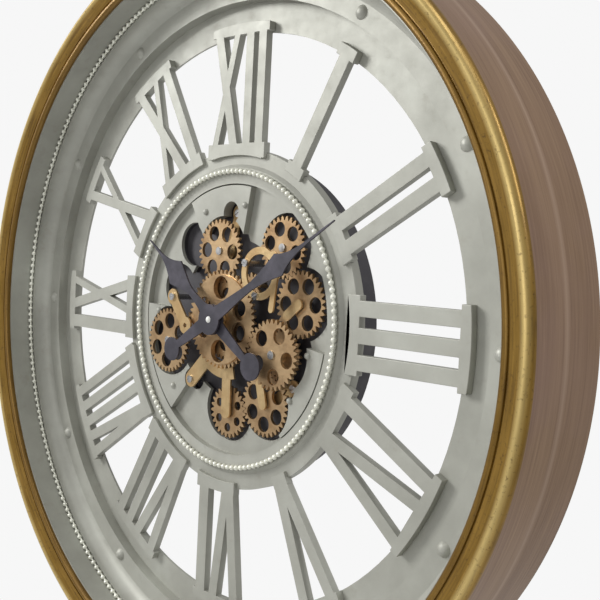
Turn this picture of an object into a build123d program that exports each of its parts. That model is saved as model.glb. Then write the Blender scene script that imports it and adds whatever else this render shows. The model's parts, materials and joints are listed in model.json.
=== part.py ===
from build123d import *
from math import acos, atan2, cos, degrees, hypot, pi, radians, sin, sqrt, tan
import os

# Round skeleton wall clock with a turning gear train.
# Millimetres. +Z is up and the front faces -Y. The origin is the middle of the wall plane,
# which is also the back of the movement drum. "Height" means distance in front of the wall.

os.makedirs("parts", exist_ok=True)

# ---------------------------------------------------------------- case and bezel
case_radius = 300.0
hoop_wall = 1.5
bezel_width = 21.7
bezel_crest = 6.0            # crest above the front edge of the hoop
bezel_seat = 1.0             # underside of the bezel below the front edge of the hoop
bezel_skirt_depth = 8.0
bezel_skirt_wall = 2.3
bezel_skirt_clearance = 0.2
bezel_crest_inset = 4.6      # from the outer edge to the top of the crest
bezel_edge_land = 1.2        # upright edge below the outer roll
bezel_roll = (1.4, 1.6)      # mid point of the outer roll: inset and drop below the crest
bezel_face_drop = 3.4        # face falls this much from the crest to the groove
bezel_lip_width = 5.2
bezel_lip_round = (2.0, 0.4)  # top of the lip: inset and rise above the groove's edge
bezel_lip_drop = 1.4
bezel_groove_width = 0.8
bezel_groove_depth = 1.2
bezel_groove_flare = 0.4

# ---------------------------------------------------------------- dial surround
surround_sheet = 1.5
surround_inset = 1.3         # wall of the surround inside the bezel's lip
surround_draft = 1.0
surround_flange = 18.5
front_wall_height = 21.2
ledge_width = 3.8
cove_width = 10.2
cove_height = 12.8
cove_sag = 2.9
shoulder_width = 15.0
cove_heel = (0.6, 1.0)       # back of the cove: offsets at its inner and outer ends
outer_bead_wire_radius = 2.1
bead_gap = 0.1

# ---------------------------------------------------------------- dial
ring_step = 9.0              # chapter ring face below the shoulder
ring_thickness = 5.0
chapter_ring_thickness = 2.0
chapter_ring_width = 23.5
numeral_thickness = 6.2
numeral_outer_overlap = 7.8
numeral_inner_overlap = 5.0
numeral_seat_gap = 0.1       # numerals clear the centre ring's raised face
serif_height = 9.0
bold_stroke = 11.2           # strokes of I, II and III
thick_stroke = 9.3
thin_stroke = 6.6
glyph_side = 1.0
foot_share = 0.8             # half width of a V's foot as a share of the thick stroke
foot_gap = 1.2               # from the middle of a V's foot to each stroke's middle
hour_count = 12
rivet_head_radius = 5.2
rivet_head_height = 3.2
rivet_circle_shift = 1.0
rivet_shank_radius = 1.6
hole_clearance = 0.1

# ---------------------------------------------------------------- centre ring and plate
centre_ring_width = 27.0
centre_face_rise = 3.0       # centre ring's face above the chapter ring's
centre_flat_width = 12.0
ridge_height = 5.5
ridge_slope = 2.6
ridge_land = 5.8
ridge_inner_slope = 2.4
inner_bead_wire_radius = 2.2
flange_step = 0.5            # inner flange below the ridge land
plate_thickness = 3.0
plate_drop = 0.5             # plate face below the ring flats
plate_seat_width = 7.6
plate_fit = 0.1
flange_margin = 0.2
lobe_inset = 1.2             # raised lobes stand back from the flange
lobe_steps = 6
lobe_hours = ((11.0, 12.35), (3.3, 4.75), (7.35, 9.1))
stud_hours = (11.27, 12.28, 3.41, 4.23, 7.58, 9.0)
stud_radius = 2.7
stud_height = 2.4
stud_circle_inset = 16.0

# ---------------------------------------------------------------- drum and back
back_cover_thickness = 1.5
drum_wall = 1.5
drum_inset = 8.0             # drum radius inside the centre ring radius
movement_gap = 0.9
movement_depth = 16.0
movement_width = 56.0
movement_height = 56.0
movement_drop = 12.0         # body centre below the hand axis
well_floor_thickness = 1.6
well_wall_height = 3.5
well_wall = 1.5
well_margin = 0.5

# ---------------------------------------------------------------- gear train
gear_module = 1.5
pressure_angle = 25.0
addendum_factor = 0.9
dedendum_factor = 1.25
backlash = 0.25
flank_points = 4
gear_thickness = 2.5
hole_circle_share = 0.64
pinion_hub_radius = 6.0
rear_hole_circle_share = 0.618   # wheel holes are shares of the wheel's pitch radius
rear_hole_share = 0.195
layer_pitch = 5.0
first_layer_lift = 7.5       # first gear layer above the well floor
running_clearance = 0.05
end_float = 0.3
arbor_radius = 2.0
arbor_column_radius = 3.2
arbor_head_thickness = 0.9
opening_clearance = 2.5
centre_opening_radius = 64.0
opening_pockets = ((-53.0, 58.0, 18.0), (-70.0, 21.0, 20.0), (-4.0, -72.0, 24.0))

petal_hole_share = 0.24
petal_rise = 1.5
side_hole_share = 0.213
side_hole_shares = (0.56, 0.227)
rim_modules = 3.0

teeth_centre = 50
teeth_centre_rear = 41
teeth_upper = 32
teeth_idler = 14
teeth_left = 34
teeth_motor = 12
teeth_lower_right = 34
teeth_pinion = 25
teeth_right = 32
teeth_upper_right = 30
teeth_bottom_right = 32
teeth_bottom = 26

direction_upper = 102.1
direction_idler = 191.5
direction_left = 205.3
direction_motor = 45.0
direction_lower_right = -20.2
direction_right = 65.4
direction_upper_right = 117.6
direction_bottom_right = 249.0
direction_bottom = 196.0

# ---------------------------------------------------------------- cocks
cock_thickness = 1.6
front_cock_gap = 2.0         # front cocks above the third gear layer
rear_cock_lift = 2.5         # rear cocks above the well floor
pillar_radius = 2.5
cock_screw_radius = 1.2
cock_screw_head_radius = 3.0
cock_screw_head_height = 1.6
cock_screw_depth = 2.2
screw_slot_width = 0.9
screw_slot_depth = 0.8
ring_cock_outer = 20.0
ring_cock_inner = 14.5
ring_cock_gap = 0.6
ring_cock_direction = 40.0
lug_radius = 6.5
rear_arm_width = 9.0
arbor_eye_margin = 3.0
sickle_width = 13.0
sickle_angles = (228.0, 255.0, 283.0)
sickle_root_angle = 235.0
sickle_arm_angle = 272.0
sickle_arm_width = 10.0
sickle_gap = 2.5
left_arm_width = 10.0
left_eye_radius = 7.0
ring_lug_angles = (155.0, -100.0)
ring_boss_angle = 40.0
ring_boss_radius = 6.0
ring_tail_angle = -12.0
ring_tail_end = (14.0, -26.0)
ring_tail_width = 5.0
small_cock_width = 8.0
right_small_reach = (-11.0, -9.0)
bottom_small_reach = (-4.0, 15.0)
upper_lug = (-3.0, 84.0)
lower_right_lug = (68.0, -47.0)
lower_lug = (-43.0, -53.0)
left_lug = (-58.0, 14.0)

# ---------------------------------------------------------------- hands
neck_radius = 4.0
neck_shoulder_radius = 7.0
hour_tube_radius = 2.5
minute_shaft_radius = 1.5
tube_depth = 5.5             # ends of the tube and shaft above the movement's back
shaft_depth = 3.5
movement_corner = 4.0
dial_nut_across_flats = 12.0
dial_nut_thickness = 2.5
hand_thickness = 1.4
hour_hand_lift = 7.6         # above the third gear layer's face
hand_spacing = 4.0
hour_hand_length = 104.0
hour_leaf = (34.0, 60.0, 86.0)      # where the leaf starts, is widest and ends
hour_leaf_width = 23.0
hour_tail_length = 66.0
hour_tail_radius = 10.5
minute_hand_length = 150.0
minute_leaf = (56.0, 88.0, 118.0)
minute_leaf_width = 18.0
minute_tail_length = 62.0
minute_tail_radius = 9.5
hand_hub_radius = 12.0
hand_root_width = 12.0
hand_neck_width = 6.0
hand_needle_width = 2.4
hand_tip_width = 0.7
hand_tail_width = 5.0
hour_boss_radius = 5.0
hour_boss_length = 2.0
minute_boss_radius = 4.0
minute_boss_length = 1.2
cap_radius = 2.6
cap_height = 1.6
shown_minutes = 9.75         # minutes past ten

# ---------------------------------------------------------------- back fittings
knob_radius = 8.0
knob_thickness = 1.8
knob_recess = 0.4
knob_position = (-14.0, 4.0)
knob_grip_count = 18
knob_grip_radius = 0.6
knob_hole_gap = 1.0
knob_shaft_radius = 1.5
knob_shaft_length = 3.0
cell_end_gap = 0.5
cell_side_gap = 0.8          # between the two cells of the battery box
door_corner = 2.0
door_notch = (16.0, 4.0)
door_notch_inset = 6.0
motor_shaft_depth = 6.0
motor_hole_gap = 1.0
hanger_hole_margin = 4.0
cell_radius = 7.1
cell_length = 50.0
cell_nub_radius = 2.6
cell_nub_length = 1.0
cell_drop = 19.0             # movement cell below the body centre
cell_clearance = 0.3
box_wall = 1.2
box_position = (7.5, -79.0)
box_width = 78.0
box_height = 34.0
door_clearance = 0.4
door_margin = 2.5
switch_size = (5.0, 4.4)
switch_travel = 4.0
switch_clearance = 0.3
switch_offset = 32.5
switch_recess = 0.4
switch_depth = 4.6
motor_radius = 10.0
motor_end_gap = 2.0
hanger_width = 46.0
hanger_drop = 24.0
hanger_thickness = 2.0
hanger_lip = 14.0
hanger_hole_radius = 5.0
hanger_slot_radius = 2.6
hanger_slot_rise = 8.0
hanger_fit = 0.1

# ---------------------------------------------------------------- heights in front of the wall
movement_back = back_cover_thickness + movement_gap
movement_front = movement_back + movement_depth
well_floor = movement_front + well_floor_thickness
plate_back = well_floor + well_wall_height
plate_front = plate_back + plate_thickness
ring_front = plate_front + plate_drop
ring_back = ring_front - ring_thickness
chapter_back = ring_front - chapter_ring_thickness
centre_face = ring_front + centre_face_rise
numeral_front = ring_front + numeral_thickness
shoulder_height = ring_front + ring_step
ledge_height = shoulder_height + cove_height
bezel_underside = ledge_height + front_wall_height
hoop_height = bezel_underside + bezel_seat
crest_height = hoop_height + bezel_crest
layer_1 = well_floor + first_layer_lift
layer_2 = layer_1 + layer_pitch
layer_3 = layer_2 + layer_pitch
rear_cock_height = well_floor + rear_cock_lift
front_cock_height = layer_3 + gear_thickness + front_cock_gap
lower_cock_height = layer_1 + gear_thickness + end_float + arbor_head_thickness + end_float
neck_top = layer_3 + gear_thickness + end_float + dial_nut_thickness
hour_hand_height = layer_3 + gear_thickness + hour_hand_lift
minute_hand_height = hour_hand_height + hand_spacing

# ---------------------------------------------------------------- radii
bezel_inner = case_radius - bezel_width
wall_radius = bezel_inner - surround_inset
ledge_outer = wall_radius - surround_draft
ledge_inner = ledge_outer - ledge_width
outer_bead_radius = ledge_outer - ledge_width / 2
shoulder_outer = ledge_inner - cove_width
chapter_outer = shoulder_outer - shoulder_width
window_outer = chapter_outer - chapter_ring_width
rivet_circle = (shoulder_outer + chapter_outer) / 2 + rivet_circle_shift
numeral_outer = window_outer + numeral_outer_overlap


def beside(centre, teeth_a, teeth_b, direction):
    """Centre of a gear in mesh with the gear at centre, in the given direction."""
    distance = gear_module * (teeth_a + teeth_b) / 2
    angle = radians(direction)
    return (centre[0] + distance * cos(angle), centre[1] + distance * sin(angle))


def meshed_turn(turn, teeth_a, teeth_b, direction):
    """Tooth angle of the second gear that puts its gap on the first gear's tooth."""
    return direction + 180 + 180 / teeth_b - (turn - direction) * teeth_a / teeth_b


def tip_radius(teeth):
    return gear_module * (teeth / 2 + addendum_factor)


axis_centre = (0.0, 0.0)
axis_upper = beside(axis_centre, teeth_centre_rear, teeth_upper, direction_upper)
axis_idler = beside(axis_centre, teeth_centre_rear, teeth_idler, direction_idler)
axis_left = beside(axis_idler, teeth_idler, teeth_left, direction_left)
axis_motor = beside(axis_centre, teeth_centre_rear, teeth_motor, direction_motor)
axis_lower_right = beside(axis_centre, teeth_centre, teeth_lower_right, direction_lower_right)
axis_right = beside(axis_lower_right, teeth_pinion, teeth_right, direction_right)
axis_upper_right = beside(axis_right, teeth_right, teeth_upper_right, direction_upper_right)
axis_bottom_right = beside(axis_lower_right, teeth_pinion, teeth_bottom_right, direction_bottom_right)
axis_bottom = beside(axis_bottom_right, teeth_bottom_right, teeth_bottom, direction_bottom)

turn_upper = meshed_turn(0, teeth_centre_rear, teeth_upper, direction_upper)
turn_idler = meshed_turn(0, teeth_centre_rear, teeth_idler, direction_idler)
turn_left = meshed_turn(turn_idler, teeth_idler, teeth_left, direction_left)
turn_motor = meshed_turn(0, teeth_centre_rear, teeth_motor, direction_motor)
turn_lower_right = meshed_turn(0, teeth_centre, teeth_lower_right, direction_lower_right)
turn_right = meshed_turn(0, teeth_pinion, teeth_right, direction_right)
turn_upper_right = meshed_turn(turn_right, teeth_right, teeth_upper_right, direction_upper_right)
turn_bottom_right = meshed_turn(0, teeth_pinion, teeth_bottom_right, direction_bottom_right)
turn_bottom = meshed_turn(turn_bottom_right, teeth_bottom_right, teeth_bottom, direction_bottom)

ring_cock_distance = tip_radius(teeth_centre) + ring_cock_gap + ring_cock_outer
ring_cock_middle = (
    ring_cock_distance * cos(radians(ring_cock_direction)),
    ring_cock_distance * sin(radians(ring_cock_direction)),
)
ring_cock_mid_radius = (ring_cock_outer + ring_cock_inner) / 2

# The flower-shaped opening is the sum of one circle round each outer gear, the centre,
# the lugs that reach past the gears, the ring cock and two empty pockets.
opening_circles = [(0.0, 0.0, centre_opening_radius)]
for axis, teeth in (
    (axis_upper, teeth_upper),
    (axis_left, teeth_left),
    (axis_lower_right, teeth_lower_right),
    (axis_right, teeth_right),
    (axis_upper_right, teeth_upper_right),
    (axis_bottom_right, teeth_bottom_right),
    (axis_bottom, teeth_bottom),
):
    opening_circles.append((axis[0], axis[1], tip_radius(teeth) + opening_clearance))
for lug in (upper_lug, lower_right_lug, lower_lug):
    opening_circles.append((lug[0], lug[1], lug_radius + opening_clearance))
opening_circles.append((ring_cock_middle[0], ring_cock_middle[1], ring_cock_outer + opening_clearance))
opening_circles.extend(opening_pockets)
train_reach = max(hypot(x, z) + r for x, z, r in opening_circles)

flange_inner = train_reach + flange_margin
centre_ring_radius = flange_inner + centre_ring_width
centre_flat_inner = centre_ring_radius - centre_flat_width
ridge_outer = centre_flat_inner - ridge_slope
ridge_inner = ridge_outer - ridge_land
inner_bead_radius = (ridge_outer + ridge_inner) / 2
plate_radius = flange_inner + plate_seat_width
stud_circle = flange_inner - stud_circle_inset
drum_radius = centre_ring_radius - drum_inset
numeral_inner = centre_ring_radius - numeral_inner_overlap

SECTION = Plane(origin=(0, 0, 0), x_dir=(1, 0, 0), z_dir=(0, 0, -1))


def front(height, x=0.0, z=0.0, turn=0.0):
    """Plane that faces the viewer at a height in front of the wall."""
    angle = radians(turn)
    return Plane(origin=(x, -height, z), x_dir=(cos(angle), 0, sin(angle)), z_dir=(0, -1, 0))


def clock_point(radius, hour):
    angle = radians(90 - 30 * hour)
    return (radius * cos(angle), radius * sin(angle))


def gear_outline(teeth, turn):
    """Points round a spur gear with involute flanks."""
    pitch_radius = gear_module * teeth / 2
    base_radius = pitch_radius * cos(radians(pressure_angle))
    root_radius = pitch_radius - dedendum_factor * gear_module
    outer_radius = tip_radius(teeth)
    tooth_width = gear_module * pi / 2 - backlash / 2
    pitch_involute = tan(radians(pressure_angle)) - radians(pressure_angle)

    def half_angle(radius):
        roll = acos(min(1.0, base_radius / radius))
        return tooth_width / (2 * pitch_radius) + pitch_involute - (tan(roll) - roll)

    start_radius = max(base_radius, root_radius)
    flank = [(root_radius, half_angle(start_radius))]
    for step in range(flank_points):
        radius = start_radius + (outer_radius - start_radius) * step / (flank_points - 1)
        if radius > root_radius:
            flank.append((radius, half_angle(radius)))
    points = []
    for tooth in range(teeth):
        middle = radians(turn) + 2 * pi * tooth / teeth
        for radius, angle in flank:
            points.append((radius * cos(middle - angle), radius * sin(middle - angle)))
        for radius, angle in reversed(flank):
            points.append((radius * cos(middle + angle), radius * sin(middle + angle)))
    return points


def toothed_wheel(teeth, turn):
    """Adds a gear face to the current sketch."""
    Polygon(*gear_outline(teeth, turn), align=None)


def lightening_holes(count, circle, radius, turn):
    with PolarLocations(circle, count, start_angle=turn):
        Circle(radius, mode=Mode.SUBTRACT)


def opening_outline(margin):
    """Adds the flower-shaped opening, grown by a margin, to the current sketch."""
    for x, z, radius in opening_circles:
        with Locations((x, z)):
            Circle(radius + margin)


def bar(start, end, width):
    """Adds a round-ended bar between two points to the current sketch."""
    reach = hypot(end[0] - start[0], end[1] - start[1])
    middle = ((start[0] + end[0]) / 2, (start[1] + end[1]) / 2)
    tilt = degrees(atan2(end[1] - start[1], end[0] - start[0]))
    with Locations(middle):
        SlotCenterToCenter(reach, width, rotation=tilt)


# ================================================================ case
with BuildPart() as case_hoop:
    with BuildSketch(front(0)):
        Circle(case_radius)
        Circle(case_radius - hoop_wall, mode=Mode.SUBTRACT)
    extrude(amount=hoop_height)
case_hoop.part.label = "case_hoop"
export_step(case_hoop.part, "parts/case_hoop.step")

skirt_outer = case_radius - hoop_wall - bezel_skirt_clearance
skirt_inner = skirt_outer - bezel_skirt_wall
groove_inner = bezel_inner + bezel_lip_width
groove_outer = groove_inner + bezel_groove_width
groove_top = crest_height - bezel_face_drop
with BuildPart() as bezel_ring:
    with BuildSketch(SECTION):
        with BuildLine():
            Line((case_radius, hoop_height), (case_radius, hoop_height + bezel_edge_land))
            ThreePointArc(
                (case_radius, hoop_height + bezel_edge_land),
                (case_radius - bezel_roll[0], crest_height - bezel_roll[1]),
                (case_radius - bezel_crest_inset, crest_height),
            )
            Polyline(
                (case_radius - bezel_crest_inset, crest_height),
                (groove_outer + bezel_groove_flare, groove_top),
                (groove_outer, groove_top - bezel_groove_depth),
                (groove_inner, groove_top - bezel_groove_depth),
                (groove_inner - bezel_groove_flare, groove_top),
            )
            ThreePointArc(
                (groove_inner - bezel_groove_flare, groove_top),
                (bezel_inner + bezel_lip_round[0], groove_top + bezel_lip_round[1]),
                (bezel_inner, groove_top - bezel_lip_drop),
            )
            Polyline(
                (bezel_inner, groove_top - bezel_lip_drop),
                (bezel_inner, bezel_underside),
                (skirt_inner, bezel_underside),
                (skirt_inner, bezel_underside - bezel_skirt_depth),
                (skirt_outer, bezel_underside - bezel_skirt_depth),
                (skirt_outer, hoop_height),
                (case_radius, hoop_height),
            )
        make_face()
    revolve(axis=Axis.Y)
bezel_ring.part.label = "bezel_ring"
export_step(bezel_ring.part, "parts/bezel_ring.step")

# ================================================================ dial surround
cove_run = sqrt(cove_width**2 + cove_height**2)
cove_middle = (
    (ledge_inner + shoulder_outer) / 2 + cove_sag * cove_height / cove_run,
    (ledge_height + shoulder_height) / 2 - cove_sag * cove_width / cove_run,
)
flange_outer = wall_radius + surround_flange
wall_foot = ledge_height - surround_sheet
with BuildPart() as surround_wall:
    with BuildSketch(SECTION):
        Polygon(
            (flange_outer, bezel_underside),
            (wall_radius, bezel_underside),
            (ledge_outer, ledge_height),
            (ledge_outer, wall_foot),
            (ledge_outer + surround_sheet, wall_foot),
            (wall_radius + surround_sheet, bezel_underside - surround_sheet),
            (flange_outer, bezel_underside - surround_sheet),
            align=None,
        )
    revolve(axis=Axis.Y)
surround_wall.part.label = "surround_wall"
export_step(surround_wall.part, "parts/surround_wall.step")

cove_back = (cove_middle[0] + surround_sheet * 0.8, cove_middle[1] - surround_sheet * 0.6)
with BuildPart() as dial_surround:
    with BuildSketch(SECTION):
        with BuildLine():
            Line((ledge_outer, ledge_height), (ledge_inner, ledge_height))
            ThreePointArc((ledge_inner, ledge_height), cove_middle, (shoulder_outer, shoulder_height))
            Polyline(
                (shoulder_outer, shoulder_height),
                (chapter_outer, shoulder_height),
                (chapter_outer, shoulder_height - surround_sheet),
                (shoulder_outer + cove_heel[0], shoulder_height - surround_sheet),
            )
            ThreePointArc(
                (shoulder_outer + cove_heel[0], shoulder_height - surround_sheet),
                cove_back,
                (ledge_inner + cove_heel[1], wall_foot),
            )
            Polyline(
                (ledge_inner + cove_heel[1], wall_foot),
                (ledge_outer, wall_foot),
                (ledge_outer, ledge_height),
            )
        make_face()
    revolve(axis=Axis.Y)
    with BuildSketch(front(shoulder_height)):
        with Locations(*[clock_point(rivet_circle, hour) for hour in range(hour_count)]):
            Circle(rivet_shank_radius + hole_clearance)
    extrude(amount=-surround_sheet, mode=Mode.SUBTRACT)
dial_surround.part.label = "dial_surround"
export_step(dial_surround.part, "parts/dial_surround.step")

with BuildPart() as outer_bead_ring:
    with BuildSketch(SECTION):
        with Locations((outer_bead_radius - bead_gap / 2, ledge_height + outer_bead_wire_radius)):
            Circle(outer_bead_wire_radius - bead_gap)
    revolve(axis=Axis.Y)
outer_bead_ring.part.label = "outer_bead_ring"
export_step(outer_bead_ring.part, "parts/outer_bead_ring.step")

# ================================================================ chapter ring
pan_back = shoulder_height - 2 * surround_sheet
pan_outer = shoulder_outer - surround_sheet
with BuildPart() as chapter_ring:
    with BuildSketch(SECTION):
        Polygon(
            (window_outer, chapter_back),
            (window_outer, ring_front),
            (chapter_outer, ring_front),
            (chapter_outer, shoulder_height - surround_sheet),
            (pan_outer, shoulder_height - surround_sheet),
            (pan_outer, pan_back),
            (chapter_outer + surround_sheet, pan_back),
            (chapter_outer + surround_sheet, chapter_back),
            align=None,
        )
    revolve(axis=Axis.Y)
    with BuildSketch(front(shoulder_height - surround_sheet)):
        with Locations(*[clock_point(rivet_circle, hour) for hour in range(hour_count)]):
            Circle(rivet_shank_radius + hole_clearance)
    extrude(amount=-surround_sheet, mode=Mode.SUBTRACT)
chapter_ring.part.label = "chapter_ring"
export_step(chapter_ring.part, "parts/chapter_ring.step")

rivet_length = 2 * surround_sheet
rivet_crown = (rivet_head_radius**2 + rivet_head_height**2) / (2 * rivet_head_height)
with BuildPart() as rivet:
    with BuildSketch(Plane.XZ):
        with BuildLine():
            Polyline(
                (0, rivet_head_height),
                (0, -rivet_length),
                (rivet_shank_radius, -rivet_length),
                (rivet_shank_radius, 0),
                (rivet_head_radius, 0),
            )
            RadiusArc((rivet_head_radius, 0), (0, rivet_head_height), -rivet_crown)
        make_face()
    revolve(axis=Axis.Z)

with BuildPart() as dome_rivets:
    for hour in range(hour_count):
        x, z = clock_point(rivet_circle, hour)
        with Locations(front(shoulder_height, x, z).location):
            add(rivet.part)
dome_rivets.part.label = "dome_rivets"
export_step(dome_rivets.part, "parts/dome_rivets.step")


# ================================================================ numerals
# A numeral stands in its own sketch frame: +Y points outward along the hour's radius, and the
# glyphs run from left to right as they are read from the centre. Each row gives the letters,
# the width of the outer serif, the pitch of the single strokes and their width.
numerals = (
    ("I", 18.8, 18.8, bold_stroke),
    ("II", 37.6, 18.8, bold_stroke),
    ("III", 56.4, 18.8, bold_stroke),
    ("IV", 67.0, 20.0, bold_stroke),
    ("V", 42.0, 0.0, thick_stroke),
    ("VI", 57.0, 18.0, bold_stroke),
    ("VII", 67.0, 15.4, thick_stroke),
    ("VIII", 73.5, 15.2, thick_stroke),
    ("IX", 55.0, 16.5, bold_stroke),
    ("X", 46.0, 0.0, thick_stroke),
    ("XI", 55.0, 15.5, thick_stroke),
    ("XII", 66.0, 14.2, thick_stroke * 0.92),
)
stroke_spare = 10.0          # strokes run past both ends and are cut to the numeral's arcs
serif_spare = 3.0


def single_stroke(x, width):
    with Locations((x, (numeral_inner + numeral_outer) / 2)):
        Rectangle(width, numeral_outer - numeral_inner + 2 * stroke_spare)


def slanted_stroke(outer_x, inner_x, width):
    half = width / 2
    low = numeral_inner - 1
    high = numeral_outer + 1
    Polygon(
        (inner_x - half, low),
        (inner_x + half, low),
        (outer_x + half, high),
        (outer_x - half, high),
        align=None,
    )


def serif_bar(left, right, radius_low, radius_high):
    with Locations(((left + right) / 2, (radius_low + radius_high) / 2)):
        Rectangle(right - left, radius_high - radius_low)


def numeral_sketch(letters, serif_width, pitch, stroke):
    """Adds the strokes and the two continuous serif bars of one numeral."""
    wide_glyph = serif_width - pitch * letters.count("I")
    cursor = -serif_width / 2
    inner_edges = []
    for letter in letters:
        width = pitch if letter == "I" else wide_glyph
        middle = cursor + width / 2
        reach = width / 2 - thick_stroke / 2 - glyph_side
        if letter == "I":
            single_stroke(middle, stroke)
            inner_edges += [cursor, cursor + width]
        elif letter == "X":
            slanted_stroke(middle - reach, middle + reach, thick_stroke)
            slanted_stroke(middle + reach, middle - reach, thin_stroke)
            inner_edges += [cursor, cursor + width]
        else:
            slanted_stroke(middle - reach, middle - foot_gap, thick_stroke)
            slanted_stroke(middle + reach, middle + foot_gap, thick_stroke)
            foot = thick_stroke * foot_share
            inner_edges += [middle - foot, middle + foot]
        cursor += width
    serif_bar(-serif_width / 2, serif_width / 2, numeral_outer - serif_height, numeral_outer + serif_spare)
    serif_bar(min(inner_edges), max(inner_edges), numeral_inner - serif_spare, numeral_inner + serif_height)


for hour, (letters, serif_width, pitch, stroke) in enumerate(numerals, start=1):
    with BuildPart() as numeral:
        with BuildSketch(front(ring_front, turn=-30 * hour)):
            numeral_sketch(letters, serif_width, pitch, stroke)
            with BuildSketch(front(ring_front, turn=-30 * hour), mode=Mode.INTERSECT):
                Circle(numeral_outer)
                Circle(numeral_inner, mode=Mode.SUBTRACT)
        extrude(amount=numeral_thickness)
        with BuildSketch(front(ring_front)):
            Circle(centre_ring_radius + numeral_seat_gap)
        extrude(amount=centre_face_rise, mode=Mode.SUBTRACT)
    numeral.part.label = f"numeral_{hour}"
    export_step(numeral.part, f"parts/numeral_{hour}.step")

# ================================================================ centre ring
land_height = ring_front + ridge_height
flange_top = land_height - flange_step
with BuildPart() as centre_ring:
    with BuildSketch(SECTION):
        Polygon(
            (centre_ring_radius, ring_back),
            (centre_ring_radius, centre_face),
            (centre_flat_inner, centre_face),
            (ridge_outer, land_height),
            (ridge_inner, land_height),
            (ridge_inner - ridge_inner_slope, flange_top),
            (flange_inner, flange_top),
            (flange_inner, plate_front),
            (plate_radius + plate_fit, plate_front),
            (plate_radius + plate_fit, ring_back),
            align=None,
        )
    revolve(axis=Axis.Y)
centre_ring.part.label = "centre_ring"
export_step(centre_ring.part, "parts/centre_ring.step")

with BuildPart() as inner_bead_ring:
    with BuildSketch(SECTION):
        with Locations((inner_bead_radius, land_height + inner_bead_wire_radius)):
            Circle(inner_bead_wire_radius)
    revolve(axis=Axis.Y)
inner_bead_ring.part.label = "inner_bead_ring"
export_step(inner_bead_ring.part, "parts/inner_bead_ring.step")


def lobe_sector(first_hour, last_hour):
    """Adds a raised lobe: a stretch of the plate's rim between two hours."""
    outer = flange_inner - lobe_inset
    rim = []
    for step in range(lobe_steps + 1):
        hour = first_hour + (last_hour - first_hour) * step / lobe_steps
        rim.append(clock_point(outer * 1.2, hour))
    Polygon((0, 0), *rim, align=None)


with BuildPart() as centre_plate:
    with BuildSketch(front(plate_back)):
        Circle(plate_radius)
    extrude(amount=plate_thickness)
    for first_hour, last_hour in lobe_hours:
        with BuildSketch(front(plate_front)):
            lobe_sector(first_hour, last_hour)
            Circle(flange_inner - lobe_inset, mode=Mode.INTERSECT)
        extrude(amount=flange_top - plate_front)
    with BuildSketch(front(plate_back)):
        opening_outline(0)
    extrude(amount=flange_top - plate_back, mode=Mode.SUBTRACT)
centre_plate.part.label = "centre_plate"
export_step(centre_plate.part, "parts/centre_plate.step")

stud_crown = (stud_radius**2 + stud_height**2) / (2 * stud_height)
with BuildPart() as stud:
    with BuildSketch(Plane.XZ):
        with BuildLine():
            Polyline((0, stud_height), (0, 0), (stud_radius, 0))
            RadiusArc((stud_radius, 0), (0, stud_height), -stud_crown)
        make_face()
    revolve(axis=Axis.Z)

with BuildPart() as plate_studs:
    for hour in stud_hours:
        x, z = clock_point(stud_circle, hour)
        with Locations(front(flange_top, x, z).location):
            add(stud.part)
plate_studs.part.label = "plate_studs"
export_step(plate_studs.part, "parts/plate_studs.step")

# ================================================================ gear well
arbors = (
    (axis_upper, layer_2),
    (axis_left, layer_2),
    (axis_idler, layer_2),
    (axis_right, layer_1),
    (axis_upper_right, layer_1),
    (axis_bottom_right, layer_1),
    (axis_bottom, layer_1),
    (axis_lower_right, layer_1),
)
with BuildPart() as gear_well:
    with BuildSketch(front(movement_front)):
        opening_outline(well_margin + well_wall)
    extrude(amount=plate_back - movement_front)
    with BuildSketch(front(well_floor)):
        opening_outline(well_margin)
    extrude(amount=plate_back - well_floor, mode=Mode.SUBTRACT)
    with BuildSketch(front(movement_front)):
        Circle(neck_shoulder_radius + hole_clearance)
        with Locations(axis_motor):
            Circle(minute_shaft_radius + motor_hole_gap)
    extrude(amount=well_floor_thickness, mode=Mode.SUBTRACT)
gear_well.part.label = "gear_well"
export_step(gear_well.part, "parts/gear_well.step")

# ================================================================ drum and back cover
with BuildPart() as movement_drum:
    with BuildSketch(front(back_cover_thickness)):
        Circle(drum_radius)
        Circle(drum_radius - drum_wall, mode=Mode.SUBTRACT)
    extrude(amount=ring_back - back_cover_thickness)
movement_drum.part.label = "movement_drum"
export_step(movement_drum.part, "parts/movement_drum.step")

movement_middle = (0.0, -movement_drop)
cell_middle = (0.0, -movement_drop - cell_drop)
cell_bay_length = cell_length + 2 * cell_nub_length + 2 * cell_end_gap
door_width = 2 * (cell_length / 2 + cell_nub_length) + 2 * door_margin
door_height = box_height - 2 * box_wall
switch_middle = (box_position[0] + switch_offset, box_position[1])
switch_slot = (switch_size[0] + switch_travel + 2 * switch_clearance, switch_size[1] + 2 * switch_clearance)
door_middle = (box_position[0] - box_width / 2 + box_wall + door_width / 2, box_position[1])
with BuildPart() as drum_back_cover:
    with BuildSketch(front(0)):
        Circle(drum_radius)
        with Locations(knob_position):
            Circle(knob_radius + knob_hole_gap, mode=Mode.SUBTRACT)
        with Locations(cell_middle):
            Rectangle(cell_bay_length, 2 * cell_radius, mode=Mode.SUBTRACT)
        with Locations(door_middle):
            Rectangle(door_width, door_height, mode=Mode.SUBTRACT)
        with Locations((switch_middle[0] + switch_travel / 2, switch_middle[1])):
            Rectangle(*switch_slot, mode=Mode.SUBTRACT)
    extrude(amount=back_cover_thickness)
drum_back_cover.part.label = "drum_back_cover"
export_step(drum_back_cover.part, "parts/drum_back_cover.step")

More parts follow.
